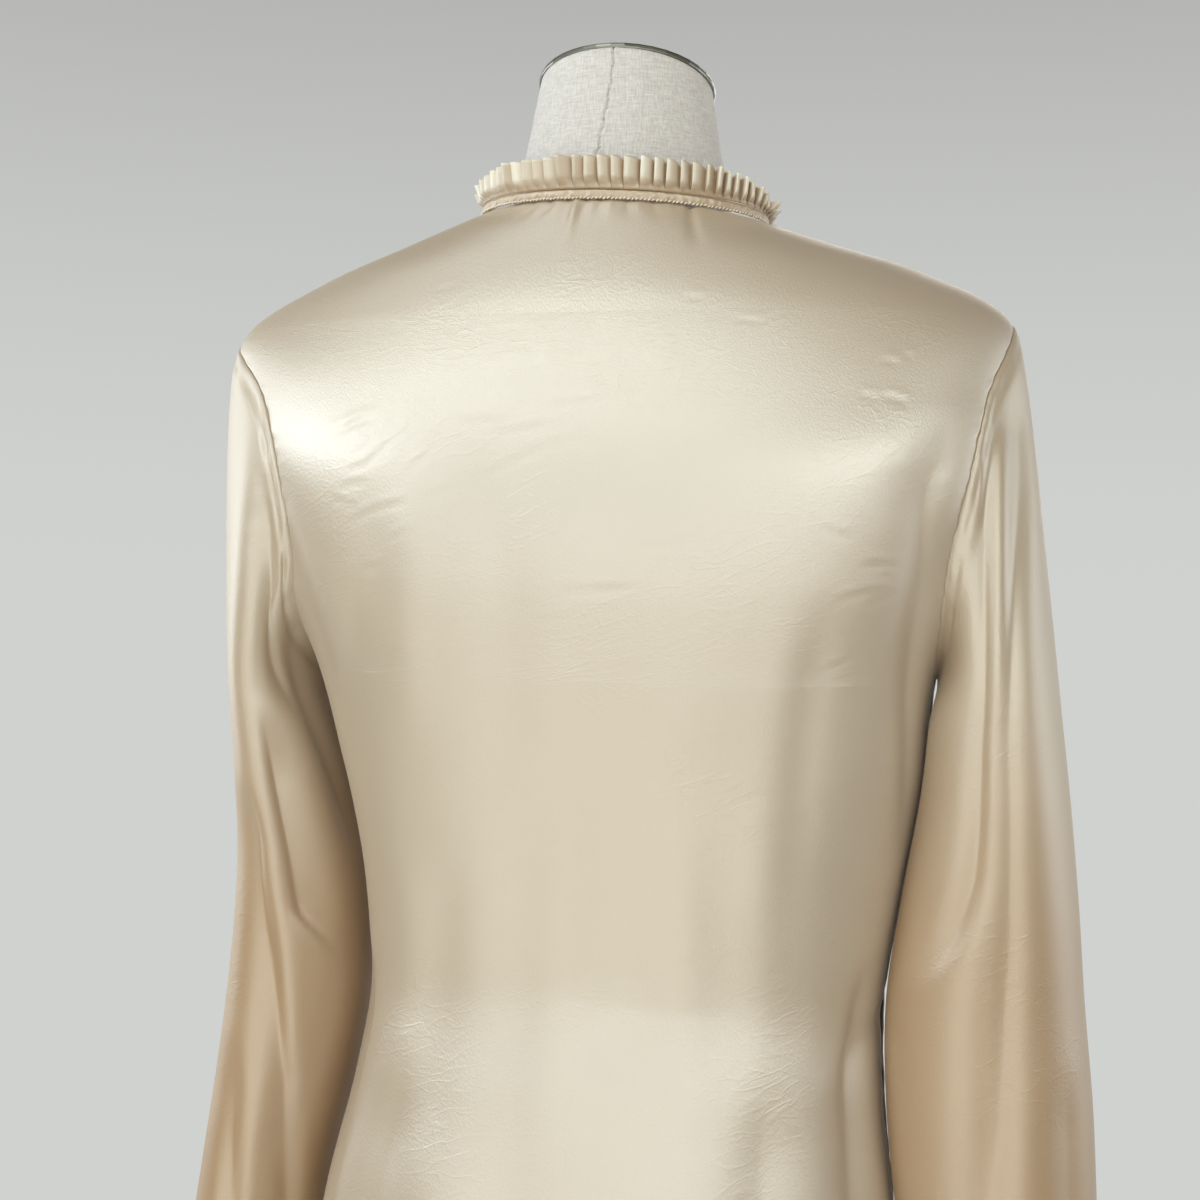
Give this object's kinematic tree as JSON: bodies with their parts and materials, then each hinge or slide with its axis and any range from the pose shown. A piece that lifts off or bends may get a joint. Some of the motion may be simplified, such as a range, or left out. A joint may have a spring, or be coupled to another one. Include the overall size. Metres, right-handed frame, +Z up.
{
  "type": "silk blouse on a dress form",
  "caption": "Long-sleeved silk satin blouse with a pleated neck ruffle and a button front, on a limbless dress form with a pole and a round base.",
  "frame": {"origin": "centre of the round base's underside, on the floor", "axes": "+Z up, the blouse's front faces -Y and its back +Y, +X is the wearer's left"},
  "size_m": [0.4854, 0.4, 1.5002],
  "materials": {
    "silk_satin": "champagne silk satin, soft sheen",
    "shell_button": "polished pale shell",
    "linen_cover": "pale grey linen, matt",
    "brushed_steel": "brushed, lightly worn",
    "painted_iron": "dark satin paint"
  },
  "bodies": {
    "root": {"back": "silk_satin", "front_left": "silk_satin", "front_right": "silk_satin", "sleeve_left": "silk_satin", "sleeve_right": "silk_satin", "cuff_left": "silk_satin", "cuff_right": "silk_satin", "neck_band": "silk_satin", "neck_ruffle": "silk_satin", "button_1": "shell_button", "button_2": "shell_button", "button_3": "shell_button", "button_4": "shell_button", "button_5": "shell_button", "button_6": "shell_button", "button_7": "shell_button", "cuff_button_left": "shell_button", "cuff_button_right": "shell_button", "form_torso": "linen_cover", "neck_cap": "brushed_steel", "pole_flange": "brushed_steel", "pole": "brushed_steel", "base": "painted_iron"}
  },
  "joints": []
}
